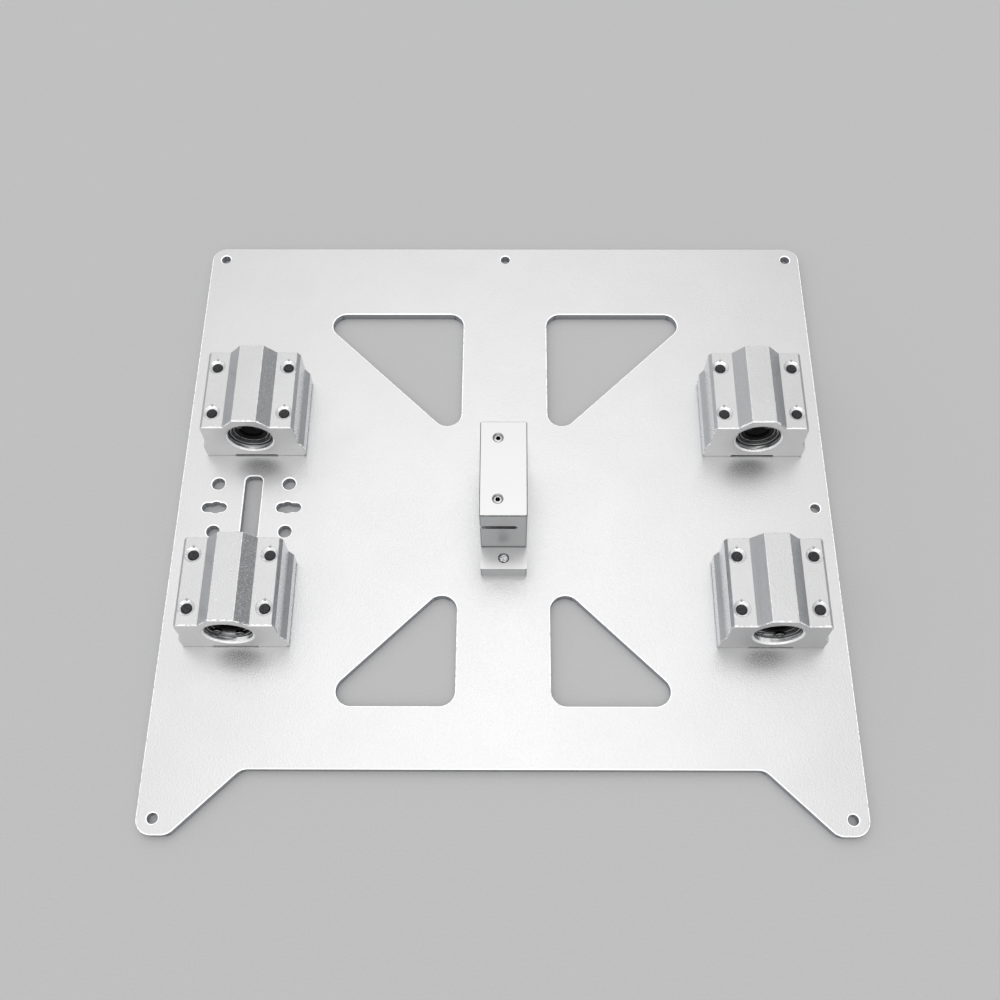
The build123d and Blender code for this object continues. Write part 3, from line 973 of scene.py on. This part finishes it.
class CARRIAGE_OT_holder_screws(bpy.types.Operator):
    """Finish the belt holder's screws in bright zinc"""

    bl_idname = "carriage.holder_screws"
    bl_label = "Belt holder screws"

    def execute(self, context):
        # The painted socket shade of each screw starts this deep below its top
        for node, unshaded_depth, lean in (
            ("belt_clamp_screws", 0.25 * MM, 0.0),
            ("belt_holder_screws", 0.5 * MM, 0.3),
        ):
            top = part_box(node)[1].z
            finish_nodes(bright_zinc(f"{node}_zinc", top - unshaded_depth, lean), node)
        return {"FINISHED"}


def make_floor(wanted):
    """A round pale floor at the height that the plate lies on."""
    shape = bmesh.new()
    bmesh.ops.create_circle(
        shape, cap_ends=True, segments=FLOOR_SEGMENTS, radius=wanted.floor_radius
    )
    mesh = bpy.data.meshes.new("floor")
    shape.to_mesh(mesh)
    shape.free()
    floor = bpy.data.objects.new("floor", mesh)
    floor.location.z = cad_box[0].z
    bpy.context.scene.collection.objects.link(floor)
    finish = Finish("pale_floor_paper", wanted.floor_colour)
    fibre = finish.noise(0.8 * MM, detail=4.0)
    colour = finish.shade(finish.swing(fibre), 0.985, 1.015)
    roughness = finish.swing(fibre, 0.85, 0.95)
    relief = finish.bump(fibre, 0.005 * MM)
    floor.data.materials.append(finish.dress(NOT_METAL, colour, roughness, relief))


def make_light(wanted):
    """A long soft light overhead that fades to the sides and towards a dimmer room."""
    world = bpy.data.worlds.new("studio")
    bpy.context.scene.world = world
    world.use_nodes = True
    sky = Nodes(world.node_tree)
    background = sky.tree.nodes["Background"]
    background.inputs["Color"].default_value = WHITE
    direction = sky.add("ShaderNodeTexCoord").outputs["Generated"]
    across, along, upward = sky.axes(direction)
    sideways = sky.size_of(sky.math("ARCSINE", across))
    rearward = sky.math("ARCTAN2", along, upward)
    width = sky.fade(sideways, SIDE_FADE)
    length = sky.fade(rearward, REAR_FADE)
    softbox = sky.product(width, length, wanted.softbox_level - wanted.room_level)
    room = sky.ramp(across, 0.0, -1.0, wanted.room_level, wanted.room_level + wanted.side_fill)
    sky.join(sky.math("ADD", softbox, room), background.inputs["Strength"])


def make_camera(wanted):
    """The camera above and in front of the plate."""
    data = bpy.data.cameras.new("camera")
    data.sensor_width = SENSOR_WIDTH
    data.lens = wanted.lens
    data.shift_x, data.shift_y = wanted.camera_shift
    data.clip_start = NEAREST_VIEW
    camera = bpy.data.objects.new("camera", data)
    camera.location = wanted.camera_place
    camera.rotation_euler = wanted.camera_turn
    bpy.context.scene.collection.objects.link(camera)
    bpy.context.scene.camera = camera


class CARRIAGE_OT_stage(bpy.types.Operator):
    """Add the floor, the light and the camera"""

    bl_idname = "carriage.stage"
    bl_label = "Stage"

    def execute(self, context):
        wanted = context.scene.carriage_stage
        make_floor(wanted)
        make_light(wanted)
        make_camera(wanted)
        context.scene.view_settings.view_transform = "Standard"
        return {"FINISHED"}


class CARRIAGE_PT_looks(bpy.types.Panel):
    """Lists the steps of the carriage plate's looks"""

    bl_idname = "CARRIAGE_PT_looks"
    bl_label = "Carriage Plate"
    bl_space_type = "VIEW_3D"
    bl_region_type = "UI"
    bl_category = "Carriage Plate"

    def draw(self, context):
        for step in STEPS:
            self.layout.operator(step.bl_idname)
        for group in (context.scene.carriage_finish, context.scene.carriage_stage):
            box = self.layout.box()
            for name in group.__annotations__:
                box.prop(group, name)


SETTINGS = {
    "carriage_finish": CarriageFinishSettings,
    "carriage_stage": CarriageStageSettings,
}
STEPS = (
    CARRIAGE_OT_plate,
    CARRIAGE_OT_block_housings,
    CARRIAGE_OT_belt_holder,
    CARRIAGE_OT_bearing_sleeves,
    CARRIAGE_OT_ball_retainers,
    CARRIAGE_OT_bearing_balls,
    CARRIAGE_OT_bearing_seals,
    CARRIAGE_OT_retaining_rings,
    CARRIAGE_OT_block_screws,
    CARRIAGE_OT_holder_screws,
    CARRIAGE_OT_stage,
)


def register():
    """Makes the settings, the steps and the panel known to Blender."""
    for name, group in SETTINGS.items():
        bpy.utils.register_class(group)
        setattr(bpy.types.Scene, name, PointerProperty(type=group))
    for step in STEPS:
        bpy.utils.register_class(step)
    bpy.utils.register_class(CARRIAGE_PT_looks)


def unregister():
    """Takes the panel, the steps and the settings away again."""
    bpy.utils.unregister_class(CARRIAGE_PT_looks)
    for step in reversed(STEPS):
        bpy.utils.unregister_class(step)
    for name, group in reversed(SETTINGS.items()):
        delattr(bpy.types.Scene, name)
        bpy.utils.unregister_class(group)


def main():
    register()
    for step in STEPS:
        family, action = step.bl_idname.split(".")
        getattr(getattr(bpy.ops, family), action)()


if __name__ == "__main__":
    main()
